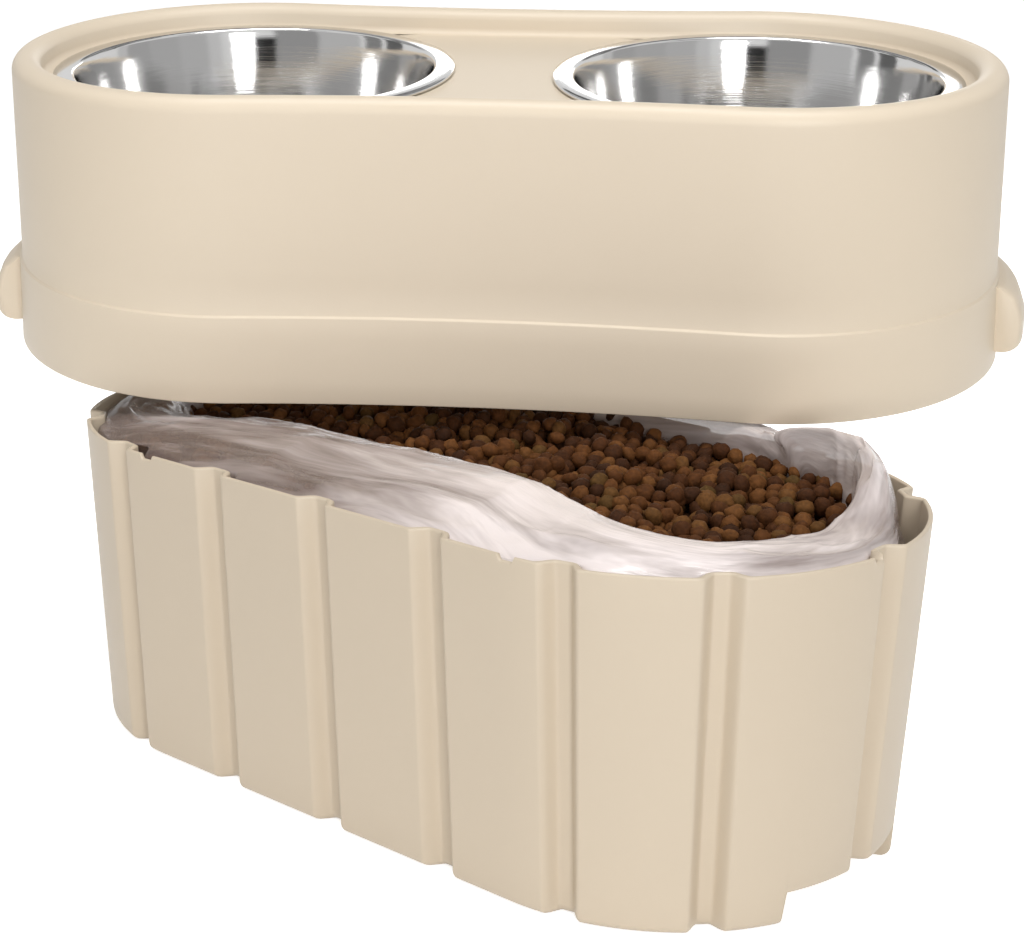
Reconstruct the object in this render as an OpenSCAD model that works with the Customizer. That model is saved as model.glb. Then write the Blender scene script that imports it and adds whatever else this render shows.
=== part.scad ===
// Elevated dog feeder: a raised top with two lift-out steel bowls, standing over a fluted food bin.
// Millimetres, +Z up. The origin is the middle of the bin's underside.
// Both mouldings have round ends. The top's long sides are slightly waisted, and the bin's are straight.

/* [Feeder top] */
// How far each round end's centre lies beyond its bowl's centre
end_out = 5; // [3:0.5:30]
// How far the long sides curve in at mid-length
waist = 7.5; // [3:0.5:9]
// Height of the skirt, up to the step that runs all round
skirt_h = 50; // [40:1:65]
// How much the skirt draws in over its height
skirt_draft = 1.8; // [0.5:0.1:3]
// Width of the step above the skirt
step_w = 1.4; // [0.8:0.1:2.4]
// Overall height of the feeder top
top_h = 168.5; // [150:0.5:200]
// How much the wall above the step draws in over its height
wall_draft = 2.2; // [0.5:0.1:4]
// Thickness of the top's walls
top_wall = 3; // [2:0.1:4]
// Radius of the rounded bead round the top
bead_r = 8.5; // [6.5:0.1:11]
// Depth of the deck below the crest of the bead
deck_drop = 15; // [9:0.5:22]
// Thickness of the deck
deck_t = 3; // [2:0.1:4]
// How far the inner ledge that rests on the bin's rim stands in from the wall
ledge_w = 9; // [6:0.5:12]
// Thickness of the inner ledge
ledge_t = 3; // [2:0.1:5]

/* [Lift lugs] */
// Height of each end lug's underside above the skirt's lower edge
lug_z = 8; // [4:1:14]
// Height of a lug
lug_h = 39; // [28:1:42]
// Half of the angle that a lug spans round the end
lug_half = 16; // [12:1:18]
// How far a lug stands out from the skirt
lug_out = 14; // [8:1:18]
// How far the lug's top edge stands out from the skirt
lug_step = 1.5; // [0.5:0.1:3]
// Radius of the lug's lower edge
lug_round = 8; // [4:0.5:8]
// Height of the lug's sloping top
lug_slope = 19; // [6:0.5:19]

/* [Bowls] */
// Inner radius of a bowl at its mouth
bowl_r = 103.7; // [85:0.1:120]
// How much a bowl narrows from its mouth to its bottom
bowl_taper = 12.5; // [9:0.1:30]
// Inner depth of a bowl
bowl_depth = 62; // [40:1:75]
// Radius of the bowl's inner bottom corner
bowl_fillet = 18; // [8:1:24]
// Thickness of the bowl's steel
bowl_t = 0.9; // [0.6:0.1:1.4]
// Width of the bowl's flange, out from its mouth
flange_w = 12.7; // [11.7:0.1:18]
// Clearance between a bowl's flange and the bead
flange_gap = 0.7; // [0.5:0.1:3]
// Radius of the rolled edge of the flange
curl_r = 1.2; // [1:0.1:1.5]
// Width of the deck between the two flanges
bowl_space = 57.2; // [36:0.2:80]
// Height of the collar that carries the flange
collar_h = 2.2; // [1.8:0.1:4]
// Width of the collar round each bowl hole
collar_w = 8; // [5:0.5:9]
// Clearance between a bowl's wall and its hole
hole_gap = 0.8; // [0.4:0.1:1.2]
// Depth of the finger scoops below the deck
scoop_depth = 1.5; // [0.8:0.1:1.8]
// Angle that a finger scoop spans
scoop_span = 26; // [15:1:40]
// Angle of a finger scoop from the line between the bowls
scoop_at = 57; // [45:1:70]

/* [Bin] */
// Height of the bin
bin_h = 170; // [140:1:240]
// How far each round end's centre of the bin lies inside that of the top
bin_short = 28; // [10:1:50]
// Clearance between the bin's rim and the skirt's inside, at the waist
rim_gap = 0.7; // [0.5:0.1:2]
// How much the bin's wall draws in from rim to floor
bin_draft = 11.5; // [5:0.5:18]
// Thickness of the bin's walls and floor
bin_wall = 2.5; // [1.8:0.1:4]
// Radius of the bin's bottom edge
bin_fillet = 5; // [3:0.5:8]
// Distance between upright flutes along the rim
flute_pitch = 74; // [60:1:80]
// Place of the middle flute, along the rim from the middle of a side
flute_shift = 5; // [-10:1:10]
// Width of a flute at its mouth
flute_w = 17; // [12:0.5:24]
// Width of a flute at its back
flute_back_w = 11; // [8:0.5:11.5]
// Depth of a flute
flute_depth = 7.5; // [4:0.5:10]
// Width of a notch in the rim
notch_w = 8; // [4:1:12]
// Depth of a notch in the rim
notch_depth = 2.6; // [1:0.1:5]
// Height of the hand recess under each end of the bin
hand_h = 15.5; // [10:0.5:25]
// How far a hand recess reaches in from the wall
hand_in = 26; // [18:1:36]
// Half the angle that a hand recess spans, from the end's middle
hand_half = 24; // [15:1:40]

/* [Food] */
// Gap between the bag and the backs of the flutes
bag_gap = 0.6; // [0.3:0.1:3]
// Thickness of the bag's folded film
bag_t = 1.2; // [0.8:0.1:2]
// How far the fold's crest stands above the rim along the front
fold_front = 10; // [6:1:12]
// How far in from the rim the crest lies along the front
fold_front_in = 84; // [24:1:88]
// How far in the crest lies near the front's right end
fold_near_in = 56; // [24:1:80]
// Length of the front that this part of the fold covers
fold_near = 62; // [20:1:120]
// How far the crest stands above the rim at the front of the right end
fold_right = 7; // [4:1:20]
// How far in the crest lies there
fold_right_in = 30; // [14:1:40]
// How far the crest stands above the rim at the back of the right end
fold_hump = 28; // [6:1:34]
// How far in the crest lies there
fold_hump_in = 22; // [14:1:30]
// How far the crest stands above the rim along the back
fold_back = 8; // [4:1:10]
// How far in the crest lies there
fold_back_in = 14; // [12:1:30]
// How far the crest stands above the rim at the left end
fold_left = 5; // [3:1:6]
// How far in the crest lies there
fold_left_in = 26; // [14:1:30]
// How far the fold's inner face runs on from its crest to the food
fold_run = 24; // [16:1:34]
// Radius of the bag's bottom corner
bag_fillet = 12; // [6:1:16]
// Depth of the food's surface below the rim
food_drop = 8; // [7:1:100]
// Height of the low heaps on the food
heap_h = 6; // [2:0.5:8]
// Radius that the heaps' tops are rounded to
heap_r = 24; // [16:1:30]
// Distance between heaps
heap_pitch = 41; // [36:1:60]

/* [How the top is held over the bin] */
// Turn of the top about the upright axis
lift_turn = 35.5; // [-60:0.1:60]
// Tip of the top about its own long axis
lift_tip = 8.8; // [0:0.1:12]
// Height of the top's lower edge, at its middle, above the rim
lift_gap = 33.7; // [33:0.1:120]
// Sideways place of the top over the bin
lift_x = -99.1; // [-110:0.1:90]
// Place of the top towards the back of the bin
lift_y = 134.7; // [-60:0.1:140]

/* [Hidden] */
eps = 0.01;
arc_steps = 6;
bead_steps = 7;       // odd, so that the bead's crest is a narrow flat
flute_over = 1.2;     // length of a flute's cut, in heights of the bin
flute_flare = 1 / 3;  // how fast a flute opens outside its mouth, per side
over = 1;             // how far a cut passes what it cuts
$fn = 96;

// Bowls, and the ends' centres
bowl_base_r = bowl_r - bowl_taper;
flange_r = bowl_r + flange_w;
bowl_c = flange_r + bowl_space / 2;
end_c = bowl_c + end_out;
bin_c = end_c - bin_short;

// The top's plan: each long side is an arc about a point far outside, tangent to both end circles.
plan_s = (end_c * end_c + waist * waist) / (2 * waist); // end circle's centre to the side arc's centre
side_y = plan_s - waist;                                // the side arc's centre, out from the middle
side_half = atan(end_c / side_y);                       // half the angle that a side spans
end_half = 90 + side_half;                              // half the angle that an end spans

// Feeder top: the radii of its round ends, from the bead's inner wall out to the skirt's lower edge
bead_in = flange_r + flange_gap;
bead_c = bead_in + bead_r;
wall_top_r = bead_c + bead_r;
wall_low_r = wall_top_r + wall_draft;
skirt_top_r = wall_low_r + step_w;
skirt_r = skirt_top_r + skirt_draft;
bead_z = top_h - bead_r;
deck_z = top_h - deck_drop;
seat_z = deck_z + collar_h;
hole_r = bowl_r + bowl_t + hole_gap;

// Bin
rim_r = skirt_top_r - top_wall - waist - rim_gap;
floor_r = rim_r - bin_draft;
bin_lean = atan(bin_draft / bin_h);
rim_end = rim_r * PI / 2; // half an end's length at the rim

// Food
bag_in = flute_depth + bin_wall + bag_gap; // the bag's face, in from the bin's outer face
bag_r = bin_r(bin_wall) - bag_in;          // the bag's radius at its bottom
food_z = bin_h - food_drop;
fold_z = food_z + bag_gap;                 // the fold starts just above the food
fold_wide = fold_run + max(fold_right_in, fold_hump_in, fold_left_in);
heap_foot = sqrt(heap_r * heap_r - (heap_r - heap_h) * (heap_r - heap_h));
food_r = bin_r(food_z) - bag_in - bag_t;
recess_gap = bin_wall + bag_gap;           // the bag's face, out from a hand recess

// Radius of the bin's outer face at height z
function bin_r(z) = floor_r + bin_draft * z / bin_h;

// Points along an arc about (x, z), from angle a to angle b
function arc(x, z, r, a, b, steps = arc_steps) = [for (i = [0 : steps])
    let (t = a + (b - a) * i / steps) [x + r * cos(t), z + r * sin(t)]];

// Outline of a tub's wall from its floor's axis: a round corner of radius f, then a leaning wall
function tub_line(low_r, high_r, h, f) = let (lean = atan((high_r - low_r) / h))
    concat([[0, 0]], arc(low_r - f * (1 - sin(lean)) / cos(lean), f, f, -90, -lean), [[high_r, h]]);

// The same line, lifted by z
function lifted(line, z) = [for (p = line) [p[0], p[1] + z]];

// The same line, run backwards
function reversed(line) = [for (i = [len(line) - 1 : -1 : 0]) line[i]];

// Sweep a section round the top's plan. Its x is the distance from an end circle's centre.
module plan_sweep() {
    for (side = [0, 1]) rotate([0, 0, 180 * side]) {
        translate([end_c, 0, 0])
            rotate([0, 0, -end_half])
                rotate_extrude(angle = 2 * end_half) children();
        translate([0, -side_y, 0])
            rotate([0, 0, 90 - side_half])
                rotate_extrude(angle = 2 * side_half, $fn = 720)
                    translate([plan_s, 0]) mirror([1, 0]) children();
    }
}

// Sweep a section round the bin's plan. Its x is the distance from the line between the end circles' centres.
module bin_sweep() {
    for (side = [0, 1]) rotate([0, 0, 180 * side]) {
        translate([bin_c, 0, 0]) rotate([0, 0, -90]) rotate_extrude(angle = 180) children();
        translate([-bin_c, 0, 0]) rotate([90, 0, 90]) linear_extrude(height = 2 * bin_c) children();
    }
}

// Put children at distance s along the bin's rim, from the middle of the front. Their +X faces out.
module on_rim(s) {
    half_round = 2 * (bin_c + rim_end);
    far = floor((s + bin_c) / half_round);
    t = s - far * half_round;
    rotate([0, 0, 180 * far])
        if (t <= bin_c) translate([t, 0, 0]) rotate([0, 0, -90]) children();
        else translate([bin_c, 0, 0]) rotate([0, 0, (t - bin_c) / rim_r * 180 / PI - 90]) children();
}

// Section of a leaning wall on a floor with a round corner, solid back to the axis
module tub_section(low_r, high_r, h, f) {
    polygon(concat(tub_line(low_r, high_r, h, f), [[0, h]]));
}

// Section of the feeder top's wall, with the skirt, step, ledge and hollow bead
module top_section() {
    inner_low_r = wall_low_r - top_wall;
    ledge_r = inner_low_r - ledge_w;
    polygon(concat(
        [[skirt_r - top_wall, 0], [skirt_r, 0], [skirt_top_r, skirt_h - step_w], [wall_low_r, skirt_h]],
        arc(bead_c, bead_z, bead_r, 0, 180, bead_steps),
        [[bead_in, deck_z - deck_t], [bead_in + top_wall, deck_z - deck_t]],
        arc(bead_c, bead_z, bead_r - top_wall, 180, 0, bead_steps),
        [[inner_low_r, skirt_h + ledge_t], [ledge_r, skirt_h + ledge_t], [ledge_r, skirt_h],
            [skirt_top_r - top_wall, skirt_h]]));
}

// Section of a lift lug: a lip with a round lower edge, an upright face and a sloping top
module lug_section() {
    out = skirt_r + lug_out;
    low_in = skirt_top_r - 2 * top_wall;
    polygon(concat([[low_in, lug_z]], arc(out - lug_round, lug_z + lug_round, lug_round, -90, 0),
        [[out, lug_z + lug_h - lug_slope], [out - lug_out / 3, lug_z + lug_h - lug_slope / 3],
            [skirt_r + lug_step, lug_z + lug_h], [low_in, lug_z + lug_h]]));
}

// One lug at the +X end, trimmed to what lies outside the skirt's inner face
module lift_lug() {
    translate([end_c, 0, 0]) difference() {
        rotate([0, 0, -lug_half]) rotate_extrude(angle = 2 * lug_half) lug_section();
        translate([0, 0, -eps])
            cylinder(r1 = skirt_r - top_wall / 2, r2 = skirt_top_r - top_wall / 2, h = skirt_h + eps);
    }
}

// The flat deck, from the bead's inner wall inward
module deck() {
    translate([0, 0, deck_z - deck_t]) plan_sweep() square([bead_in + top_wall / 2, deck_t]);
}

// Cut for a finger scoop beside a bowl, at angle a from the line between the bowls
module scoop_cut(a) {
    rotate([0, 0, a - scoop_span / 2]) rotate_extrude(angle = scoop_span)
        translate([hole_r - eps, deck_z - scoop_depth])
            square([bead_in - hole_r - eps, collar_h + scoop_depth + eps]);
}

module feeder_top_local() {
    difference() {
        union() {
            plan_sweep() top_section();
            deck();
            for (side = [-1, 1]) translate([side * bowl_c, 0, deck_z - eps])
                cylinder(r = hole_r + collar_w, h = collar_h + eps);
            lift_lug();
            mirror([1, 0, 0]) lift_lug();
        }
        for (side = [0, 1]) rotate([0, 0, 180 * side]) translate([bowl_c, 0, 0]) {
            translate([0, 0, deck_z - deck_t - over]) cylinder(r = hole_r, h = deck_t + collar_h + 2 * over);
            for (a = [-scoop_at, scoop_at]) scoop_cut(180 + a);
        }
    }
}

// A bowl with its flange's underside at height 0
module bowl_local() {
    inside = lifted(tub_line(bowl_base_r, bowl_r, bowl_depth, bowl_fillet), bowl_t - bowl_depth);
    outside = lifted(tub_line(bowl_base_r + bowl_t, bowl_r + bowl_t, bowl_depth, bowl_fillet + bowl_t), -bowl_depth);
    curl_in = 180 - asin((curl_r - bowl_t) / curl_r);
    curl = arc(flange_r - curl_r, bowl_t - curl_r, curl_r, curl_in, 450, 2 * arc_steps);
    rotate_extrude() polygon(concat(outside, curl, reversed(inside)));
}

// Stand the feeder top's own frame over the bin
module held_over() {
    translate([lift_x, lift_y, bin_h + lift_gap]) rotate([0, 0, lift_turn]) rotate([lift_tip, 0, 0]) children();
}

// Section that a flute cuts out of the wall; grow widens it to leave the wall behind it
module flute_section(grow) {
    w = flute_w + 2 * grow;
    back = flute_back_w + 2 * grow;
    mouth = w + 2 * flute_flare * flute_w;
    polygon([[-flute_depth - grow, -back / 2], [flute_w, -mouth / 2],
        [flute_w, mouth / 2], [-flute_depth - grow, back / 2]]);
}

module flute(grow) {
    translate([floor_r, 0, 0]) rotate([0, bin_lean, 0])
        translate([0, 0, (1 - flute_over) * bin_h / 2]) linear_extrude(height = flute_over * bin_h) flute_section(grow);
}

// Seven flutes along each side and round its corners, and one in the middle of each end
module flutes(grow) {
    for (side = [0, 1]) rotate([0, 0, 180 * side]) {
        for (i = [-3 : 3]) on_rim(flute_shift + i * flute_pitch) flute(grow);
        on_rim(bin_c + rim_end) flute(grow);
    }
}

// Hand recess under both ends; grow thickens it to leave the wall round it
module hand_recess(grow) {
    grow_a = grow / (floor_r - hand_in) * 180 / PI;
    for (side = [0, 1]) rotate([0, 0, 180 * side]) translate([bin_c, 0, 0])
        rotate([0, 0, -hand_half - grow_a]) rotate_extrude(angle = 2 * (hand_half + grow_a))
            translate([floor_r - hand_in - grow, -eps]) square([hand_in + bin_draft + grow, hand_h + grow + eps]);
}

// Notches in the rim: where each side meets an end, and beside the flute in the middle of each end
module rim_notches() {
    for (side = [0, 1]) rotate([0, 0, 180 * side])
        for (s = [-bin_c, bin_c, bin_c + rim_end - flute_w]) on_rim(s + flute_shift)
            translate([rim_r - flute_w, -notch_w / 2, bin_h - notch_depth])
                cube([2 * flute_w, notch_w, 2 * notch_depth]);
}

module storage_bin() {
    color([0.83, 0.75, 0.63]) difference() {
        bin_sweep() tub_section(floor_r, rim_r, bin_h, bin_fillet);
        flutes(0);
        hand_recess(0);
        difference() {
            translate([0, 0, bin_wall]) bin_sweep()
                tub_section(bin_r(bin_wall) - bin_wall, rim_r - bin_wall, bin_h - bin_wall + eps, bin_fillet);
            flutes(bin_wall);
            hand_recess(bin_wall);
        }
        rim_notches();
    }
}

// Section of the bag's lower part: film on the floor and wall, up to the food's surface
module bag_section() {
    outside = tub_line(bag_r, bin_r(fold_z) - bag_in, fold_z - bin_wall, bag_fillet);
    inside = lifted(tub_line(bag_r - bag_t, food_r, food_z - bin_wall - bag_t, bag_fillet - bag_t), bag_t);
    polygon(concat(outside, [[food_r, fold_z - bin_wall]], reversed(inside)));
}

// Section of the gathered fold: up from the wall, over a crest, and down to the food
module fold_section(rise, crest_in) {
    wall_r = bin_r(bin_h - bag_t) - bag_in;
    crest_r = rim_r - crest_in;
    foot_r = crest_r - fold_run;
    crest_z = bin_h + rise;
    polygon(concat([[bin_r(fold_z) - bag_in, fold_z]],
        [for (a = [0 : 30 : 90]) [crest_r + (wall_r - crest_r) * cos(a), bin_h - bag_t + (rise + bag_t) * sin(a)]],
        [for (a = [30 : 30 : 90]) [crest_r + (foot_r - crest_r) * sin(a), fold_z + (crest_z - fold_z) * cos(a)]]));
}

// A length of fold along one long side, turned to that side, from x on
module straight_fold(turn, x, length, rise, crest_in) {
    rotate([0, 0, turn]) translate([x, 0, 0])
        rotate([90, 0, 90]) linear_extrude(height = length) mirror([1, 0]) fold_section(rise, crest_in);
}

// The fold is widest along the front and highest at the back of the right end
module fold() {
    straight_fold(0, -bin_c, 2 * bin_c - fold_near, fold_front, fold_front_in);
    straight_fold(0, bin_c - fold_near, fold_near, fold_front, fold_near_in);
    straight_fold(180, -bin_c, 2 * bin_c, fold_back, fold_back_in);
    translate([bin_c, 0, 0]) rotate([0, 0, -90]) rotate_extrude(angle = 90) fold_section(fold_right, fold_right_in);
    translate([bin_c, 0, 0]) rotate_extrude(angle = 90) fold_section(fold_hump, fold_hump_in);
    translate([-bin_c, 0, 0]) rotate([0, 0, 90]) rotate_extrude(angle = 180) fold_section(fold_left, fold_left_in);
}

module food_bag() {
    color([0.86, 0.86, 0.88, 0.5]) difference() {
        union() {
            translate([0, 0, bin_wall]) bin_sweep() bag_section();
            fold();
        }
        hand_recess(recess_gap);
    }
    color([0.86, 0.86, 0.88, 0.5]) intersection() {
        translate([0, 0, bin_wall + bag_t]) bin_sweep() tub_section(bag_r, bag_r, 2 * hand_h, bag_fillet);
        difference() {
            hand_recess(recess_gap + bag_t);
            hand_recess(recess_gap);
        }
    }
}

// Low round heaps on the food, wherever a whole one clears the fold
module heaps() {
    front_y = rim_r - fold_front_in - fold_run - heap_foot - bag_gap;
    back_y = rim_r - fold_back_in - fold_run - heap_foot - bag_gap;
    end_r = rim_r - fold_wide - heap_foot - bag_gap;
    rows = floor((front_y + back_y) / heap_pitch);
    columns = floor((bin_c + end_r) / heap_pitch);
    for (i = [-columns : columns], j = [0 : rows])
        let (x = i * heap_pitch, y = (j - rows / 2) * heap_pitch + (back_y - front_y) / 2)
            if (norm([max(abs(x) - bin_c, 0), y]) < end_r || abs(x) <= bin_c)
                translate([x, y, food_z + heap_h - heap_r]) sphere(r = heap_r);
}

// The food, a bed that fills the bag up to its level, with its surface in low heaps
module kibble() {
    color([0.45, 0.29, 0.18]) difference() {
        union() {
            translate([0, 0, bin_wall + bag_t]) bin_sweep()
                tub_section(bag_r - bag_t, food_r, food_z - bin_wall - bag_t, bag_fillet - bag_t);
            heaps();
        }
        hand_recess(recess_gap + bag_t);
    }
}

module feeder_top() {
    color([0.85, 0.78, 0.67]) held_over() feeder_top_local();
}

module bowl_left() {
    color([0.78, 0.78, 0.79]) held_over() translate([-bowl_c, 0, seat_z]) bowl_local();
}

module bowl_right() {
    color([0.78, 0.78, 0.79]) held_over() translate([bowl_c, 0, seat_z]) bowl_local();
}

storage_bin();
feeder_top();
bowl_left();
bowl_right();
food_bag();
kibble();
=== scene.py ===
import math
import bmesh
import bpy
import numpy as np
from mathutils import Matrix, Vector
from mathutils.geometry import delaunay_2d_cdt


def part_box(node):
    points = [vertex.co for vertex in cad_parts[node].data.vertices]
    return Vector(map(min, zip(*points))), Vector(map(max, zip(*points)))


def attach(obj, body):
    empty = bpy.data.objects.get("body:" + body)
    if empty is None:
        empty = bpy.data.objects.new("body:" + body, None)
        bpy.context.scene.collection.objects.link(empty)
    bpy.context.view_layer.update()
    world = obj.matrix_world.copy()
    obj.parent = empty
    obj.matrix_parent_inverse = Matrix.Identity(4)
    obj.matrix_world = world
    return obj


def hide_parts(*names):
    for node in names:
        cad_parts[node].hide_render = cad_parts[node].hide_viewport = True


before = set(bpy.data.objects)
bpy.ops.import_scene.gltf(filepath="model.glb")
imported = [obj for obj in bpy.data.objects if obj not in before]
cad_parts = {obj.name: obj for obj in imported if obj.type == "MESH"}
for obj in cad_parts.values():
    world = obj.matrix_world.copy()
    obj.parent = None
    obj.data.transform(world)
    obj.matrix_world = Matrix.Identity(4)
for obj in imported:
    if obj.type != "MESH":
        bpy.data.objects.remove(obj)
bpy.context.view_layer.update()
mm = 0.001

# ---------------------------------------------------------------------------
# The view: a long lens from the front right, a little above the feeder, so
# that both bowls show over the bead and the food shows under the lifted top.
# ---------------------------------------------------------------------------
camera_place = (675.0 * mm, -772.8 * mm, 442.1 * mm)
camera_turn = math.radians(41.213)
camera_dip = math.radians(10.60)
camera_roll = math.radians(0.785)
lens_mm = 71.06
frame_shift = (0.0339, -0.1685)

view_data = bpy.data.cameras.new("view_camera")
view_data.sensor_width = 36.0
view_data.lens = lens_mm
view_data.shift_x, view_data.shift_y = frame_shift
view_data.clip_start, view_data.clip_end = 0.05, 60.0
view_camera = bpy.data.objects.new("view_camera", view_data)
view_camera.matrix_world = (
    Matrix.Translation(camera_place)
    @ Matrix.Rotation(camera_turn, 4, "Z")
    @ Matrix.Rotation(math.pi / 2 - camera_dip, 4, "X")
    @ Matrix.Rotation(camera_roll, 4, "Z")
)
bpy.context.scene.collection.objects.link(view_camera)
bpy.context.scene.camera = view_camera
bpy.context.scene.view_settings.view_transform = "Standard"

# ---------------------------------------------------------------------------
# The studio: a white floor and white air round the object, a large soft lamp
# on the right, a low weak one in front, a long one overhead and one behind. A
# ring of grey cards with gaps stands round it, and only gloss shows them.
# ---------------------------------------------------------------------------
def hang_lamp(name, place, aim, size, watts):
    """A soft rectangular lamp at a place, turned to face its aim."""
    data = bpy.data.lights.new(name, "AREA")
    data.shape = "RECTANGLE"
    data.size, data.size_y = size
    data.energy = watts
    lamp = bpy.data.objects.new(name, data)
    lamp.location = place
    way = np.array(place) - np.array(aim)
    spin = math.atan2(way[0], -way[1])
    dip = math.atan2(math.hypot(way[0], way[1]), way[2])
    lamp.rotation_euler = (dip, 0, spin)
    bpy.context.scene.collection.objects.link(lamp)


# each lamp: where it hangs, what it faces, its width and height in metres, and its watts
hang_lamp("key_lamp", (1.95, -1.45, 0.85), (0, 0, 0.2), (0.55, 1.3), 23)
hang_lamp("low_lamp", (0.75, -1.55, 0.12), (0, 0, 0.35), (1.6, 0.2), 5)
hang_lamp("top_lamp", (0.2, -0.3, 2.35), (0, 0, 0.3), (1.5, 0.4), 27)
hang_lamp("back_lamp", (-1.5, 2.1, 0.7), (0, 0, 0.2), (1.3, 1.3), 9)


def flat_card(name, corners):
    """One flat sheet of the studio, which is not part of the feeder."""
    mesh = bpy.data.meshes.new(name)
    mesh.from_pydata(corners, [], [(0, 1, 2, 3)])
    card = bpy.data.objects.new(name, mesh)
    bpy.context.scene.collection.objects.link(card)
    return card


# each card: its two edges in degrees round the object from the camera's side,
# its lower and upper edge in degrees above the horizon, and its grey
cards = [
    (-11, 4, -4, 12, 0.03), (17, 28, -4, 34, 0.74), (28, 38, -4, 34, 0.62), (38, 60, -4, 36, 0.50),
    (60, 84, -4, 36, 0.46), (84, 104, -4, 34, 0.42), (104, 114, -4, 34, 0.60),
    (-42, -11, -4, 34, 0.34), (-74, -42, -4, 34, 0.54), (-92, -78, -4, 40, 0.26), (-112, -96, -4, 34, 0.14),
    (118, 136, 30, 66, 0.16), (140, 168, 30, 66, 0.22), (172, 196, 30, 66, 0.12), (203, 226, 30, 66, 0.26),
    (231, 246, 30, 66, 0.10), (-60, -20, 46, 60, 0.30), (26, 70, 46, 60, 0.34)]
card_reach = 3.0
card_middle = 0.3
card_columns = 6


def give_points(mesh, name, values):
    """Let each point of a mesh carry a number under this name."""
    mesh.attributes.new(name, "FLOAT", "POINT").data.foreach_set("value", np.asarray(values, np.float32))


def point_value(tree, name):
    """The number that each point of a mesh carries under this name."""
    carried = tree.nodes.new("ShaderNodeAttribute")
    carried.attribute_name = name
    return carried.outputs["Fac"]


def make_cards_mesh():
    """The cards as pieces of a sphere round the feeder, each point with its card's grey."""
    mesh = bpy.data.meshes.new("studio_cards")
    points, faces, greys = [], [], []
    for left, right, low, high, grey in cards:
        turns = np.radians(np.linspace(left, right, card_columns) - 90.0) + camera_turn
        first, above = len(points), len(points) + card_columns
        for rise in (math.radians(low), math.radians(high)):
            away, height = card_reach * math.cos(rise), card_middle + card_reach * math.sin(rise)
            points += [(away * math.cos(a), away * math.sin(a), height) for a in turns]
        faces += [(first + i, first + i + 1, above + i + 1, above + i) for i in range(card_columns - 1)]
        greys += [grey] * (2 * card_columns)
    mesh.from_pydata(points, [], faces)
    give_points(mesh, "card_grey", greys)
    return mesh


cards_paint = bpy.data.materials.new("card_grey")
cards_paint.use_nodes = True
nodes, links = cards_paint.node_tree.nodes, cards_paint.node_tree.links
nodes.clear()
cards_out = nodes.new("ShaderNodeOutputMaterial")
cards_flat = nodes.new("ShaderNodeEmission")
links.new(point_value(cards_paint.node_tree, "card_grey"), cards_flat.inputs["Strength"])
links.new(cards_flat.outputs[0], cards_out.inputs["Surface"])
studio_cards = bpy.data.objects.new("studio_cards", make_cards_mesh())
studio_cards.data.materials.append(cards_paint)
bpy.context.scene.collection.objects.link(studio_cards)
studio_cards.visible_camera = False
studio_cards.visible_diffuse = False
studio_cards.visible_shadow = False
studio_cards.visible_transmission = False

floor_reach = 12.0
floor_level = -0.0006
floor = flat_card("studio_floor", [
    (x * floor_reach, y * floor_reach, floor_level) for x, y in ((-1, -1), (1, -1), (1, 1), (-1, 1))])


def feed(tree, socket, value):
    """Set a socket to a number, or join it to another node's output."""
    if isinstance(value, float):
        socket.default_value = value
    else:
        tree.links.new(value, socket)


def reckon(tree, kind, *values, clamp=False):
    """What a Math node makes of its values, each a number or another node's output."""
    step = tree.nodes.new("ShaderNodeMath")
    step.operation, step.use_clamp = kind, clamp
    for socket, value in zip(step.inputs, values):
        feed(tree, socket, value)
    return step.outputs[0]


def seen_or_mirrored(tree):
    """1 for rays from the camera and those that gloss or glass sends on, 0 for light on its way to things."""
    path = tree.nodes.new("ShaderNodeLightPath").outputs
    seen = reckon(tree, "MAXIMUM", path["Is Camera Ray"], path["Is Glossy Ray"])
    return reckon(tree, "MAXIMUM", seen, path["Is Transmission Ray"])


paper = bpy.data.materials.new("floor_paper")
paper.use_nodes = True
nodes, links = paper.node_tree.nodes, paper.node_tree.links
nodes.clear()
paper_out = nodes.new("ShaderNodeOutputMaterial")
paper_matt = nodes.new("ShaderNodeBsdfDiffuse")
paper_matt.inputs["Color"].default_value = (0.86, 0.86, 0.86, 1)
paper_glow = nodes.new("ShaderNodeEmission")
paper_glow.inputs["Strength"].default_value = 0.75
paper_sum = nodes.new("ShaderNodeAddShader")
paper_mix = nodes.new("ShaderNodeMixShader")
links.new(paper_matt.outputs[0], paper_sum.inputs[0])
links.new(paper_glow.outputs[0], paper_sum.inputs[1])
links.new(seen_or_mirrored(paper.node_tree), paper_mix.inputs[0])
links.new(paper_matt.outputs[0], paper_mix.inputs[1])
links.new(paper_sum.outputs[0], paper_mix.inputs[2])
links.new(paper_mix.outputs[0], paper_out.inputs["Surface"])
floor.data.materials.append(paper)

air = bpy.data.worlds.new("studio_air")
bpy.context.scene.world = air
air.use_nodes = True
nodes, links = air.node_tree.nodes, air.node_tree.links
nodes.clear()
air_out = nodes.new("ShaderNodeOutputWorld")
air_light = nodes.new("ShaderNodeBackground")
air_light.inputs["Color"].default_value = (1, 0.99, 0.975, 1)
air_light.inputs["Strength"].default_value = 0.40
air_white = nodes.new("ShaderNodeBackground")
air_white.inputs["Strength"].default_value = 1.0
air_mix = nodes.new("ShaderNodeMixShader")
links.new(seen_or_mirrored(air.node_tree), air_mix.inputs[0])
links.new(air_light.outputs[0], air_mix.inputs[1])
links.new(air_white.outputs[0], air_mix.inputs[2])
links.new(air_mix.outputs[0], air_out.inputs["Surface"])

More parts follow.
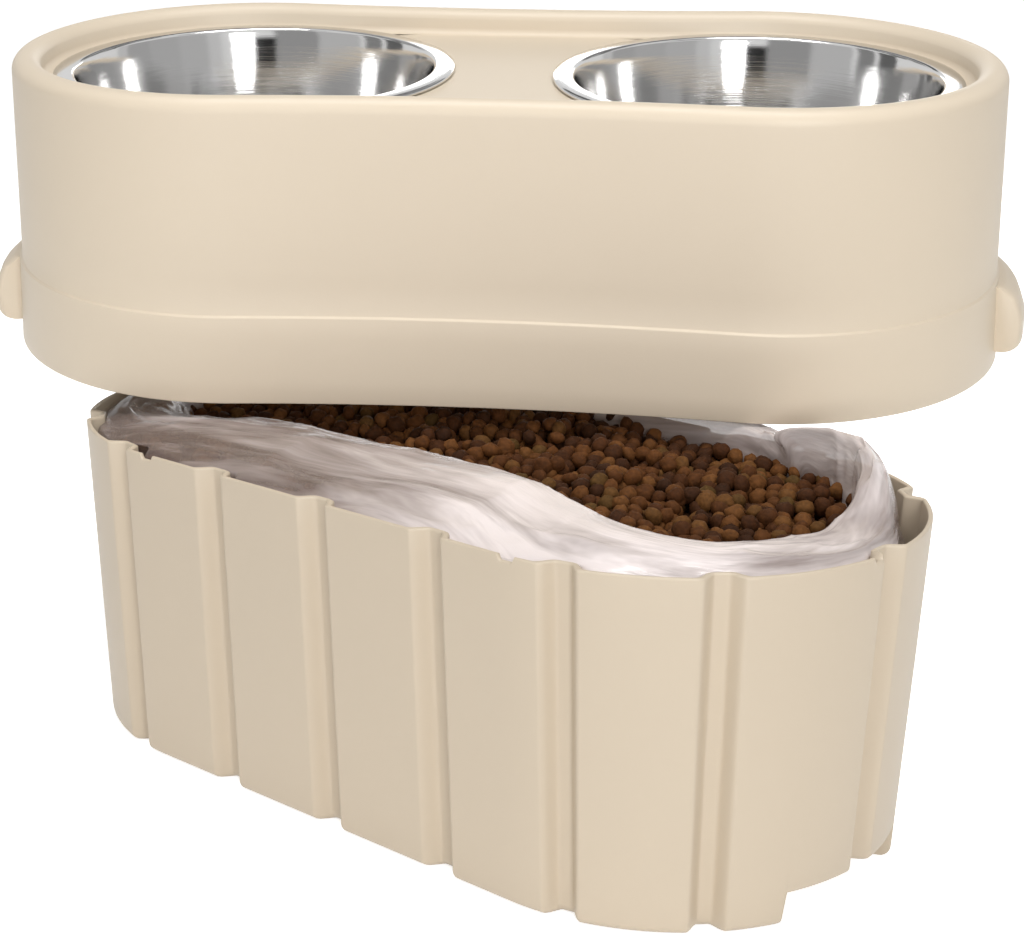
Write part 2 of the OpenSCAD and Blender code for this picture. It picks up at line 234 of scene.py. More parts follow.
# ---------------------------------------------------------------------------
# Storage bin: one thin-walled beige moulding with round ends, leaning walls,
# upright flutes that stiffen them, a plain rim with small notches, and a
# hand recess under each end.
# ---------------------------------------------------------------------------
bin_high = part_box("storage_bin")[1]
bin_h = bin_high.z / mm
rim_r = bin_high.y / mm
bin_c = bin_high.x / mm - rim_r
bin_draft = 11.5
bin_wall = 2.5
bin_corner = 5.0
flute_pitch = 74.0
flute_shift = 5.0
flute_mouth = 17.0
flute_back = 11.0
flute_depth = 7.5
flute_mouth_soft = 1.9
flute_back_soft = 2.4
notch_w = 8.0
notch_depth = 2.6
hand_h = 15.5
hand_in = 26.0
hand_half = math.radians(24)
rim_end = rim_r * math.pi / 2
rim_round = 2 * (2 * bin_c + 2 * rim_end)


def bin_plan(s):
    """Base point and outward way at distance s along the rim, from the middle of the front."""
    half_round = rim_round / 2
    turns = np.floor((s + bin_c) / half_round)
    t = s - turns * half_round
    angle = np.maximum(t - bin_c, 0) / rim_r - math.pi / 2
    base = np.c_[np.minimum(t, bin_c), np.zeros_like(t)]
    way = np.c_[np.cos(angle), np.sin(angle)]
    flip = np.where(turns % 2 == 0, 1.0, -1.0)[:, None]
    return base * flip, way * flip


def along(s, centre):
    """Signed distance along the rim from centre to s, the short way round."""
    return (s - centre + rim_round / 2) % rim_round - rim_round / 2


def soft_step(x):
    """From 0 to 1 as x goes from 0 to 1, level at both ends."""
    x = np.clip(x, 0, 1)
    return x * x * (3 - 2 * x)


def flute_places():
    """Distances along the rim of the flutes' middles."""
    places = []
    for side in (0, 1):
        places += [side * rim_round / 2 + flute_shift + i * flute_pitch for i in range(-3, 4)]
        places.append(side * rim_round / 2 + bin_c + rim_end)
    return places


def notch_places():
    """Distances along the rim of the notches' middles."""
    return [side * rim_round / 2 + s + flute_shift
            for side in (0, 1) for s in (-bin_c, bin_c, bin_c + rim_end - flute_mouth)]


def flute_cut(s, grow):
    """Depth of the flutes at distance s along the rim; grow widens them for the wall's inner face."""
    cut = np.zeros_like(s)
    for centre in flute_places():
        d = np.abs(along(s, centre))
        near = flute_back / 2 - flute_back_soft + grow
        wide = flute_mouth / 2 + flute_mouth_soft + grow
        cut = np.maximum(cut, soft_step((wide - d) / (wide - near)))
    return flute_depth * cut


def ring_places(step):
    """Distances along the rim, close together where flutes, notches and recesses turn."""
    s = list(np.arange(0, rim_round, step))
    for centre in flute_places():
        s += list(centre + np.linspace(-14, 14, 43))
    for centre in notch_places():
        s += list(centre + np.linspace(-notch_w / 2 - 1.5, notch_w / 2 + 1.5, 15))
    for end in (0, 1):
        for edge in (-hand_half, hand_half):
            centre = end * rim_round / 2 + bin_c + rim_end + edge * rim_r
            s += list(centre + np.linspace(-7, 7, 15))
    s = np.sort(np.array(s) % rim_round)
    return s[np.r_[True, np.diff(s) > 0.35]]


def ring_band(low, high, count):
    """Quads between two closed rings of points, which begin at point low and at point high."""
    return [(low + i, low + (i + 1) % count, high + (i + 1) % count, high + i) for i in range(count)]


def tube_mesh(name, rings, closed_ends=True):
    """A skin over rings of points, each ring closed on itself; flat caps close the two ends."""
    count = len(rings[0])
    points = np.concatenate(rings) * mm
    faces = []
    for j in range(len(rings) - 1):
        faces += ring_band(j * count, (j + 1) * count, count)
    if closed_ends:
        faces.append(tuple(range(count - 1, -1, -1)))
        faces.append(tuple(range((len(rings) - 1) * count, len(rings) * count)))
    mesh = bpy.data.meshes.new(name)
    mesh.from_pydata(points.tolist(), [], faces)
    mesh.update()
    return mesh


def show(name, mesh, smooth_below=None):
    """Put a mesh in the scene, smooth except at edges sharper than the given angle."""
    work = bmesh.new()
    work.from_mesh(mesh)
    bmesh.ops.recalc_face_normals(work, faces=work.faces)
    for face in work.faces:
        face.smooth = True
    if smooth_below is not None:
        for edge in work.edges:
            if len(edge.link_faces) == 2 and edge.calc_face_angle(0) > smooth_below:
                edge.smooth = False
    work.to_mesh(mesh)
    work.free()
    piece = bpy.data.objects.new(name, mesh)
    bpy.context.scene.collection.objects.link(piece)
    return piece


def recess_lift(s, reach):
    """How far the hand recesses lift the underside, at s along the rim and reach in from the wall's foot."""
    lift = np.zeros_like(s)
    for end in (0, 1):
        centre = end * rim_round / 2 + bin_c + rim_end
        off = np.abs(along(s, centre)) / rim_r
        edge = (hand_half - off) * (rim_r - bin_draft) / 2.0 + 0.5
        lift = np.maximum(lift, soft_step(edge) * soft_step((hand_in - reach) / 2.0 + 0.5))
    return hand_h * lift


def make_bin_mesh():
    """Rings from the middle of the underside, out and up the wall, over the rim and down to the floor inside."""
    s = ring_places(6.0)
    base, way = bin_plan(s)
    outer_cut = flute_cut(s, 0.0)
    inner_cut = flute_cut(s, bin_wall)
    drop = np.zeros_like(s)
    for centre in notch_places():
        drop = np.maximum(drop, soft_step((notch_w / 2 - np.abs(along(s, centre))) / 0.8 + 0.5))
    rim_z = bin_h - notch_depth * drop
    lip_r = bin_wall / 2
    floor_r = rim_r - bin_draft

    def wall(z):
        return floor_r + bin_draft * z / bin_h

    def ring(radius, z):
        flat = base + way * np.broadcast_to(radius, s.shape)[:, None]
        return np.c_[flat, np.broadcast_to(z, s.shape)]

    rings = []
    for reach in (60.0, 40.0, 30.0, 27.4, 26.4, 25.6, 24.6, 22.0, 14.0, 8.0):
        rings.append(ring(floor_r - reach - outer_cut, recess_lift(s, np.full_like(s, reach))))
    foot = recess_lift(s, np.zeros_like(s))
    corner = np.where(foot > 1, bin_corner - 2.0 * soft_step(foot / hand_h), bin_corner)
    for a in np.linspace(-90, 0, 7):
        turn = math.radians(a)
        z = foot + corner * (1 + math.sin(turn))
        rings.append(ring(wall(z) - corner * (1 - math.cos(turn)) - outer_cut, z))
    for share in np.linspace(0, 1, 13)[1:]:
        low = foot + corner
        z = low + (rim_z - lip_r - low) * share
        rings.append(ring(wall(z) - outer_cut, z))
    for a in np.linspace(0, 180, 9)[1:]:
        turn = math.radians(a)
        z = rim_z - lip_r + lip_r * math.sin(turn)
        middle = wall(rim_z) - (outer_cut + inner_cut + bin_wall) / 2
        half = (bin_wall + inner_cut - outer_cut) / 2
        rings.append(ring(middle + half * math.cos(turn), z))
    for share in np.linspace(0, 1, 8)[1:]:
        low = foot + bin_wall + corner
        z = rim_z - lip_r + (low - rim_z + lip_r) * share
        rings.append(ring(wall(z) - bin_wall - inner_cut, z))
    for a in (-30, -60, -90):
        turn = math.radians(a)
        z = foot + bin_wall + corner * (1 + math.sin(turn))
        rings.append(ring(wall(z) - bin_wall - corner * (1 - math.cos(turn)) - inner_cut, z))
    for reach in (12.0, 26.0, 27.0, 28.5, 30.0, 40.0, 60.0):
        lift = recess_lift(s, np.full_like(s, reach - bin_wall))
        rings.append(ring(floor_r - reach - inner_cut, lift + bin_wall))
    return tube_mesh("storage_bin_shell", rings)


storage_bin = show("storage_bin_shell", make_bin_mesh(), math.radians(50))


def new_finish(name):
    """An empty material, its node tree and its Principled shader."""
    material = bpy.data.materials.new(name)
    material.use_nodes = True
    return material, material.node_tree, material.node_tree.nodes["Principled BSDF"]


def noise(tree, place, scale, detail=2.0, rough=0.5, bend=0.0):
    """Soft noise over a place, which a coordinate node's output gives."""
    made = tree.nodes.new("ShaderNodeTexNoise")
    for name, value in (("Scale", scale), ("Detail", detail), ("Roughness", rough), ("Distortion", bend)):
        made.inputs[name].default_value = value
    tree.links.new(place, made.inputs["Vector"])
    return made.outputs["Fac"]


def toned(tree, colour, factor):
    """A colour made lighter or darker by a factor."""
    tone = tree.nodes.new("ShaderNodeVectorMath")
    tone.operation = "SCALE"
    tree.links.new(colour, tone.inputs[0])
    tree.links.new(factor, tone.inputs["Scale"])
    return tone.outputs[0]


def relief(tree, height, strength, distance):
    """The normal of a surface that rises and falls with a height, by at most a distance in metres."""
    bump = tree.nodes.new("ShaderNodeBump")
    feed(tree, bump.inputs["Strength"], strength)
    bump.inputs["Distance"].default_value = distance
    tree.links.new(height, bump.inputs["Height"])
    return bump.outputs[0]


def moulding_effect():
    """Node group for a satin moulding: slight clouding of the colour, fine grain, and soft orange peel."""
    tree = bpy.data.node_groups.new("moulded_satin", "ShaderNodeTree")
    for name, way, kind, value in (
            ("Tint", "INPUT", "Color", None), ("Clouding", "INPUT", "Float", 0.04),
            ("Gloss", "INPUT", "Float", 0.4), ("Grain", "INPUT", "Float", 0.1),
            ("Colour", "OUTPUT", "Color", None), ("Roughness", "OUTPUT", "Float", None),
            ("Normal", "OUTPUT", "Vector", None)):
        socket = tree.interface.new_socket(name, in_out=way, socket_type="NodeSocket" + kind)
        if value is not None:
            socket.default_value = value
    given = tree.nodes.new("NodeGroupInput").outputs
    made = tree.nodes.new("NodeGroupOutput").inputs
    place = tree.nodes.new("ShaderNodeTexCoord").outputs["Object"]
    cloud, grain, peel = noise(tree, place, 9.0, 3.0), noise(tree, place, 900.0), noise(tree, place, 140.0)
    spread = reckon(tree, "MULTIPLY_ADD", cloud, 2.0, -1.0)
    depth = reckon(tree, "MULTIPLY_ADD", spread, given["Clouding"], 1.0)
    height = reckon(tree, "MULTIPLY_ADD", grain, 0.5, peel)
    feed(tree, made["Colour"], toned(tree, given["Tint"], depth))
    feed(tree, made["Roughness"], reckon(tree, "MULTIPLY_ADD", cloud, 0.10, given["Gloss"]))
    feed(tree, made["Normal"], relief(tree, height, given["Grain"], 0.0004))
    return tree


def plastic(name, tint, clouding, gloss, grain):
    """A beige moulding's material: the satin group feeds one Principled shader."""
    material, tree, shader = new_finish(name)
    shader.inputs["IOR"].default_value = 1.49
    satin = tree.nodes.new("ShaderNodeGroup")
    satin.node_tree = bpy.data.node_groups.get("moulded_satin") or moulding_effect()
    satin.inputs["Tint"].default_value = (*tint, 1)
    for socket, value in (("Clouding", clouding), ("Gloss", gloss), ("Grain", grain)):
        satin.inputs[socket].default_value = value
    for result, socket in (("Colour", "Base Color"), ("Roughness", "Roughness"), ("Normal", "Normal")):
        tree.links.new(satin.outputs[result], shader.inputs[socket])
    return material


storage_bin.data.materials.append(plastic("bin_plastic", (0.58, 0.49, 0.376), 0.02, 0.42, 0.12))
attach(storage_bin, "bin")
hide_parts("storage_bin")

# ---------------------------------------------------------------------------
# Bag of dry food: thin milky film that lines the bin. Its mouth is folded in
# over the food and gathered into a soft roll, wide along the front, and it
# stands up in a loose hump at the back of the right end.
# ---------------------------------------------------------------------------
heap_h = 6.0
food_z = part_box("kibble")[1].z / mm - heap_h
film_in = flute_depth + bin_wall + 0.8
film_columns = 840
film_steps = 52
film_gap = 1.6
seam_place = 0.70
collar_low = 7.0
crest_share = 0.62
hump_place, hump_width = 0.335, 0.05
lap_place, lap_width, lap_slide = 0.380, 0.013, 24.0
lift_turn = math.radians(35.5)
lift_tip = math.radians(8.8)
lift_place = (-99.1 * mm, 134.7 * mm, (bin_h + 33.7) * mm)
held_over = Matrix.Translation(lift_place) @ Matrix.Rotation(lift_turn, 4, "Z") @ Matrix.Rotation(lift_tip, 4, "X")
top_front = -147.0
# place along the rim as a share of the whole round, height of the crest above the rim,
# distance of the crest in from the rim, distance in where the film meets the food,
# how far the film stands off the wall at the rim, and how cloudy white it is there, whitest right of the front's
# middle, where that white is partly painted highlight
collar_shape = [
    (0.000, 8, 82, 104, 0, 0.52), (0.030, 8, 85, 106, 0, 0.66), (0.052, 7, 82, 102, 0, 0.86),
    (0.076, 4, 73, 94, 1, 0.96), (0.095, 4, 62, 84, 3, 0.96), (0.110, 5.5, 56, 78, 6, 0.92),
    (0.125, 6.5, 49, 72, 1, 0.9), (0.145, 6, 44, 68, 0, 0.92), (0.165, 5.5, 38, 60, 0, 0.92),
    (0.185, 5.5, 33, 54, 0, 0.9), (0.208, 5, 33, 52, 0, 0.88), (0.226, 3.5, 34, 51, 1, 0.86),
    (0.243, 1.5, 35, 50, 3, 0.74), (0.258, 0, 36, 48, 5, 0.62), (0.274, 2, 36, 46, 8, 0.46),
    (0.290, 9, 33, 41, 12, 0.38), (0.306, 17, 30, 38, 13, 0.36), (0.325, 22, 29, 36, 11, 0.4),
    (0.345, 25, 29, 35, 8, 0.42), (0.362, 24, 31, 34, 4, 0.42), (0.378, 17, 36, 34, 1, 0.42),
    (0.392, 6, 36, 34, 0, 0.4), (0.404, 9, 24, 30, 0, 0.36), (0.416, 13, 15, 28, 0, 0.34),
    (0.430, 12, 13, 28, 0, 0.3), (0.450, 10.5, 13, 28, 0, 0.3), (0.480, 8, 14, 28, 0, 0.3),
    (0.520, 6, 15, 28, 0, 0.3), (0.600, 6, 18, 32, 0, 0.35), (0.680, 5, 24, 40, 1, 0.35),
    (0.760, 5, 26, 46, 2, 0.3), (0.830, 5, 34, 58, 2, 0.14), (0.870, 4, 50, 76, 3, 0.08),
    (0.905, 5.5, 66, 90, 6, 0.08), (0.930, 6.5, 74, 98, 4, 0.14), (0.950, 7.5, 79, 101, 1, 0.26),
    (0.975, 8, 81, 103, 0, 0.38)]


def round_noise(seed, cells_round, cells_across, u, v):
    """Smooth random relief, periodic round the rim; u runs round and v across, both 0 to 1."""
    random = np.random.default_rng(seed)
    grid = random.uniform(-1, 1, (cells_across + 2, cells_round))
    x, y = u * cells_round, v * cells_across
    i, j = np.floor(x).astype(int), np.clip(np.floor(y).astype(int), 0, cells_across)
    fx, fy = soft_step(x - i), soft_step(y - j)
    i0, i1 = i % cells_round, (i + 1) % cells_round
    low = grid[j, i0] * (1 - fx) + grid[j, i1] * fx
    high = grid[j + 1, i0] * (1 - fx) + grid[j + 1, i1] * fx
    return low * (1 - fy) + high * fy


def round_crease(seed, cells_round, cells_across, u, v):
    """Narrow ridges with hollows between them, from -0.5 to 0.5."""
    return np.clip(1 - 1.7 * np.abs(round_noise(seed, cells_round, cells_across, u, v)), 0, 1) ** 1.6 - 0.5


def round_curve(u, column):
    """A value of collar_shape at share u of the round, on a smooth closed curve."""
    at = np.array([row[0] for row in collar_shape])
    value = np.array([row[column] for row in collar_shape], float)
    at = np.r_[at - 1, at, at + 1]
    value = np.r_[value, value, value]
    fine = np.linspace(-1, 2, 3001)
    curve = np.interp(fine, at, value)
    width = np.exp(-np.linspace(-2.5, 2.5, 41) ** 2)
    curve = np.convolve(np.pad(curve, 20, mode="edge"), width / width.sum(), "valid")
    return np.interp(u, fine, curve)


def under_top(x, y):
    """Height of the lifted top's lower edge over (x, y), or well above the bag outside its outline."""
    up = held_over.to_3x3().col[2]
    dx, dy = x - held_over.translation.x / mm, y - held_over.translation.y / mm
    plane = held_over.translation.z / mm - (up.x * dx + up.y * dy) / up.z
    across = -math.sin(lift_turn) * dx + math.cos(lift_turn) * dy
    return np.where(across > top_front, plane, 400.0)


def make_film_mesh():
    """Rings round the rim: over the bin's floor, up its wall, over the crest and down to the food."""
    s = (seam_place * rim_round + np.linspace(0, rim_round, film_columns, endpoint=False)) % rim_round
    u = s / rim_round
    base, way = bin_plan(s)
    tangent = np.c_[-way[:, 1], way[:, 0]]
    # the last column gives the film's whiteness, part of which is painted highlight
    crest, crest_in, foot_in, off_wall, milky_with_highlights = (round_curve(u, column) for column in range(1, 6))
    hump = np.exp(-((u - hump_place) / hump_width) ** 2)
    lap = lap_slide * np.exp(-((u - lap_place) / lap_width) ** 2)
    wall_in, past_flute = bin_wall + 1.3, flute_cut(s, bin_wall)

    def ring(inward, z, slide=0.0):
        slid = tangent * np.broadcast_to(slide, s.shape)[:, None]
        return np.c_[base + way * (rim_r - inward)[:, None] + slid, z]

    rings, milk_and_painted_light = [], []
    ones = np.ones_like(s)
    for inward in (70, 50, 38, 28):
        lift = recess_lift(s, ones * (inward - bin_draft - 6))
        rings.append(ring(ones * (inward + bin_draft), bin_wall + 1.0 + lift * 1.25))
    for z in (10, 22, 45, 80, 115, 140, 152):
        lean = bin_draft * (1 - z / bin_h)
        raised = (hand_h + 4) * (z < 22) * (recess_lift(s, ones) > 1)
        rings.append(ring(ones * (film_in + lean + (6 if z < 12 else 0)), ones * z + raised))
    milk_and_painted_light += [ones * 0.3] * len(rings)
    for k in range(film_steps + 1):
        t = k / film_steps
        # the outer part rises from the wall to the crest, and the inner part falls to the food
        if t < crest_share:
            a = t / crest_share * math.pi / 2
            start = wall_in + off_wall + past_flute * soft_step(ones * (1 - t / 0.2))
            inward = start + (crest_in - start) * (1 - math.cos(a)) ** 0.8
            z = bin_h - collar_low + (crest + collar_low) * math.sin(a) ** 0.85
        else:
            a = (t - crest_share) / (1 - crest_share) * math.pi / 2
            inward = crest_in + (foot_in - crest_in) * math.sin(a) ** 0.9
            z = food_z - 2 + (bin_h + crest - food_z + 2) * math.cos(a) ** 0.85
        across = np.clip(t + 0.09 * round_noise(21, 11, 3, u, ones * t), 0, 1)
        folds = 2.2 * round_noise(11, 13, 4, u + 0.02 * t, across)
        folds += 1.5 * round_crease(12, 17, 6, u + 0.05 * t, across)
        folds += 0.7 * round_crease(13, 31, 11, u - 0.03 * t, across)
        folds += 0.22 * round_noise(14, 110, 22, u, across)
        crumple = 2.3 * round_crease(15, 52, 6, u + 0.03 * t, across) + 1.2 * round_noise(16, 80, 9, u, across)
        folds += hump * crumple
        hold = soft_step(ones * t / 0.12) * soft_step(ones * (1 - t) / 0.1)
        inward = inward + 0.5 * folds * hold
        top = ring(inward, z + folds * hold, lap * math.sin(math.pi * t) ** 2)
        top[:, 2] = np.minimum(top[:, 2], under_top(top[:, 0], top[:, 1]) - film_gap)
        rings.append(top)
        # painted shade: low on the roll's outer side, where the film is least cloudy, it is made clearer and so
        # darker
        pocket_shade = 0.35 * soft_step(1 - np.abs(ones * t - 0.2) / 0.22) * soft_step((0.62 - milky_with_highlights) / 0.2)
        clouds = 0.25 * round_noise(17, 10, 4, u, across)
        milk_and_painted_light.append(np.clip(milky_with_highlights - pocket_shade + 0.10 * hump * (t > 0.45) + clouds, 0, 1))
    mesh = tube_mesh("bag_film", rings, closed_ends=False)
    give_points(mesh, "film_milk_and_painted_light", np.concatenate(milk_and_painted_light))
    # u runs along the roll and v across it, both in metres, so that the creases follow the roll
    steps_across = [np.zeros(film_columns)] + [np.linalg.norm(b - a, axis=1) for a, b in zip(rings, rings[1:])]
    run = np.cumsum(steps_across, axis=0) * mm
    run -= run[len(rings) - film_steps - 1 + round(crest_share * film_steps)]
    corner = np.empty(len(mesh.loops), dtype=np.int64)
    mesh.loops.foreach_get("vertex_index", corner)
    column = (corner % film_columns).reshape(-1, 4)
    wraps = (column.max(1) - column.min(1) > 1)[:, None] & (column == 0)
    place = np.c_[((column + wraps * film_columns) * rim_round / film_columns * mm).ravel(), run.ravel()[corner]]
    layer = mesh.uv_layers.new(name="film_run")
    layer.data.foreach_set("uv", place.astype(np.float32).ravel())
    return mesh


film = show("bag_film", make_film_mesh())


def drawn_noise(tree, run, along_run, across_run, detail, rough=0.5, bend=0.0, turn=0.0):
    """Noise drawn out along a mesh's own run, which its UV map of that name gives."""
    place = tree.nodes.new("ShaderNodeUVMap")
    place.uv_map = run
    stretch = tree.nodes.new("ShaderNodeMapping")
    stretch.inputs["Scale"].default_value = (along_run, across_run, 1.0)
    stretch.inputs["Rotation"].default_value = (0, 0, turn)
    tree.links.new(place.outputs["UV"], stretch.inputs["Vector"])
    return noise(tree, stretch.outputs[0], 1.0, detail, rough, bend)


def mapped(tree, value, low, high, to_low, to_high):
    """A value that runs from low to high, spread from to_low to to_high and held there."""
    span = tree.nodes.new("ShaderNodeMapRange")
    for name, number in (("From Min", low), ("From Max", high), ("To Min", to_low), ("To Max", to_high)):
        span.inputs[name].default_value = number
    tree.links.new(value, span.inputs["Value"])
    return span.outputs[0]


def film_material():
    """Polythene film: clear and brownish where it is single, cloudy white where it is gathered, with long creases,
    and long whiter bands along them that are painted sheen.
    """
    material, tree, shader = new_finish("bag_film")
    shader.inputs["IOR"].default_value = 1.5
    crease_turn = math.radians(4)
    creases_and_sheen = drawn_noise(tree, "film_run", 7.0, 42.0, 4.0, 0.62, 0.5, crease_turn)
    wisps = drawn_noise(tree, "film_run", 30.0, 190.0, 5.0, 0.62, 0.6, crease_turn)
    # the crease noise also whitens the film along long lines, which is painted sheen, on top of each point's own
    # whiteness
    spread = reckon(tree, "MULTIPLY_ADD", creases_and_sheen, 1.9, -0.95)
    milk_and_painted_light = reckon(tree, "ADD", spread, point_value(tree, "film_milk_and_painted_light"), clamp=True)
    tint = tree.nodes.new("ShaderNodeMix")
    tint.data_type = "RGBA"
    tint.inputs["A"].default_value = (0.28, 0.21, 0.185, 1)
    tint.inputs["B"].default_value = (0.90, 0.815, 0.80, 1)
    feed(tree, tint.inputs["Factor"], milk_and_painted_light)
    feed(tree, shader.inputs["Base Color"], tint.outputs["Result"])
    feed(tree, shader.inputs["Alpha"], mapped(tree, milk_and_painted_light, 0.0, 1.0, 0.55, 0.97))
    feed(tree, shader.inputs["Roughness"], mapped(tree, wisps, 0.3, 0.7, 0.10, 0.26))
    height = reckon(tree, "MULTIPLY_ADD", wisps, 0.22, creases_and_sheen)
    feed(tree, shader.inputs["Normal"], relief(tree, height, 0.55, 0.003))
    return material


film.data.materials.append(film_material())
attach(film, "bin")
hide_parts("food_bag")

# ---------------------------------------------------------------------------
# Dry food: round baked pellets poured into the bag, lying in low heaps, over a
# plain bed that fills the bag below them.
# ---------------------------------------------------------------------------
pellet_r = 5.0
pellet_pitch = pellet_r * 1.82
row_share = 0.87
layer_h = 5.2
layer_gaps = 0.28
food_edge = 20.0
heap_r = 24.0
heap_pitch = 41.0
heap_rows = (14.5, 55.5)
bed_drop = 5.0


def heap_rise(x, y):
    """Height of the low heaps above the food's level."""
    rise = 0.0
    for row in heap_rows:
        for i in range(-4, 5):
            away = math.hypot(x - i * heap_pitch, y - row)
            rise = max(rise, math.sqrt(max(heap_r ** 2 - away ** 2, 0)) - heap_r + heap_h)
    return rise


def make_bed_mesh():
    """Rings from the bed's underside, up along the bag and in over its top."""
    s = np.linspace(0, rim_round, 240, endpoint=False)
    base, way = bin_plan(s)
    bed_top = food_z - bed_drop
    rings = []
    for inward, z in ((60, 8), (34, 8), (27, 14), (20, 60), (15, bed_top - 8), (17, bed_top - 2),
                      (24, bed_top), (40, bed_top), (70, bed_top)):
        lift = 14.0 if z < 20 else 0.0
        rings.append(np.c_[base + way * (rim_r - inward), np.full_like(s, z + lift)])
    return tube_mesh("food_bed", rings)


def make_pellets_mesh():
    """Two loose layers of pellets, each a ball of its own size, squeeze, turn and lumps."""
    random = np.random.default_rng(5)
    ball = bmesh.new()
    bmesh.ops.create_icosphere(ball, subdivisions=2, radius=1.0)
    shape = np.array([v.co[:] for v in ball.verts])
    skin = [tuple(v.index for v in f.verts) for f in ball.faces]
    ball.free()
    spots = []
    for layer in (0, 1):
        for row in range(-15, 16):
            for column in range(-30, 31):
                x = (column + 0.5 * (row % 2) + 0.4 * layer) * pellet_pitch + random.uniform(-1.5, 1.5)
                y = (row + 0.5 * layer) * pellet_pitch * row_share + random.uniform(-1.5, 1.5)
                away = math.hypot(max(abs(x) - bin_c, 0), y)
                if away > rim_r - food_edge or (layer and random.uniform() < layer_gaps):
                    continue
                # the level sways a little, and banks up towards the back and the left end
                sway = 1.2 * math.sin(x / 37.0 + y / 60.0) + 1.0 * math.cos(y / 23.0 + x / 90.0)
                bank = 4.0 * soft_step((y + 30.0) / 110.0)
                bank += 5.0 * soft_step((y - 20.0) / 70.0) * soft_step((70.0 - x) / 90.0)
                z = food_z - 1.0 - pellet_r + layer * layer_h + 0.8 * heap_rise(x, y) + bank + sway
                spots.append((x, y, z + random.uniform(-1.4, 1.4)))
    points, faces, tones = [], [], []
    for spot in spots:
        size = pellet_r * random.uniform(0.84, 1.16)
        stretch = np.array([1.0, random.uniform(0.84, 1.0), random.uniform(0.72, 0.95)])
        spin = np.linalg.qr(random.normal(size=(3, 3)))[0]
        lumps = 1 + 0.09 * np.sin(shape @ random.normal(size=3) * 3.1 + random.uniform(0, 6))
        lumps += 0.06 * np.sin(shape @ random.normal(size=3) * 5.3 + random.uniform(0, 6))
        start = len(points) * len(shape)
        points.append((shape * stretch * lumps[:, None] * size) @ spin.T + spot)
        faces += [(a + start, b + start, c + start) for a, b, c in skin]
        tones.append(random.uniform())
    mesh = bpy.data.meshes.new("food_pellets")
    mesh.from_pydata((np.concatenate(points) * mm).tolist(), [], faces)
    give_points(mesh, "pellet_tone", np.repeat(tones, len(shape)))
    mesh.update()
    return mesh


food_bed = show("food_bed", make_bed_mesh())
pellets = show("food_pellets", make_pellets_mesh())


def food_material():
    """Baked food: every pellet its own brown, from dark to reddish to olive, with a pitted dull skin and painted
    shade in its pits.
    """
    material, tree, shader = new_finish("dry_food")
    shader.inputs["Roughness"].default_value = 0.7
    shader.inputs["Specular IOR Level"].default_value = 0.12
    browns = tree.nodes.new("ShaderNodeValToRGB")
    ramp = browns.color_ramp
    ramp.elements[0].position, ramp.elements[0].color = 0.0, (0.034, 0.012, 0.004, 1)
    ramp.elements[1].position, ramp.elements[1].color = 1.0, (0.080, 0.042, 0.011, 1)
    for position, colour in ((0.3, (0.062, 0.021, 0.006, 1)), (0.6, (0.105, 0.038, 0.010, 1)),
                             (0.82, (0.145, 0.058, 0.016, 1))):
        ramp.elements.new(position).color = colour
    feed(tree, browns.inputs["Fac"], point_value(tree, "pellet_tone"))
    pits = noise(tree, tree.nodes.new("ShaderNodeTexCoord").outputs["Object"], 420.0, 6.0)
    # painted shade and light: the colour darkens in the bump's pits and lightens on the grain between them
    pit_shading = mapped(tree, pits, 0.3, 0.75, 0.75, 1.35)
    feed(tree, shader.inputs["Base Color"], toned(tree, browns.outputs["Color"], pit_shading))
    feed(tree, shader.inputs["Normal"], relief(tree, pits, 0.6, 0.0012))
    return material


food_skin = food_material()
for piece in (food_bed, pellets):
    piece.data.materials.append(food_skin)
    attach(piece, "bin")
    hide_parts("kibble")

# ---------------------------------------------------------------------------
# Feeder top: one beige moulding with a skirt, a step, a tall wall, a rounded
# bead, and a deck with a collared hole for each bowl. A lip at each end lifts
# it, and it is held over the bin, turned and tipped towards the front.
# ---------------------------------------------------------------------------
bowl_r = 103.7
flange_r = 116.4
bowl_c = 145.0
end_c = 150.0
waist = 7.5
bead_r = 8.5
bead_in = flange_r + 0.7
top_h = 168.5
skirt_h = 50.0
step_w = 1.4
wall_draft = 2.2
skirt_draft = 1.8
top_wall = 3.0
ledge_w = 9.0
ledge_t = 3.0
deck_z = top_h - 15.0
deck_t = 3.0
deck_fillet = 5.0
deck_grid = 5.0
collar_h = 2.2
collar_w = 8.0
hole_r = bowl_r + 1.7
collar_foot = hole_r + collar_w + 1.2
seat_z = deck_z + collar_h
scoop_depth = 5.2
plan_s = (end_c ** 2 + waist ** 2) / (2 * waist)
side_y = plan_s - waist
side_half = math.atan(end_c / side_y)
bead_c = bead_in + bead_r
wall_top_r = bead_c + bead_r
wall_low_r = wall_top_r + wall_draft
skirt_top_r = wall_low_r + step_w
skirt_r = skirt_top_r + skirt_draft


def top_plan(side_steps, end_steps):
    """Base points and outward ways round the top's plan: front, right end, back, left end."""
    base, way = [], []
    for flip in (1, -1):
        for a in np.linspace(-side_half, side_half, side_steps, endpoint=False):
            base.append((flip * plan_s * math.sin(a), flip * (plan_s * math.cos(a) - side_y)))
            way.append((-flip * math.sin(a), -flip * math.cos(a)))
        half = math.pi / 2 + side_half
        for a in np.linspace(-half, half, end_steps, endpoint=False):
            base.append((flip * end_c, 0.0))
            way.append((flip * math.cos(a), flip * math.sin(a)))
    return np.array(base), np.array(way)


def arc_points(x, z, r, start, end, steps):
    """Points of a section on an arc about (x, z), from one angle to another in degrees."""
    return [(x + r * math.cos(math.radians(a)), z + r * math.sin(math.radians(a)))
            for a in np.linspace(start, end, steps + 1)]


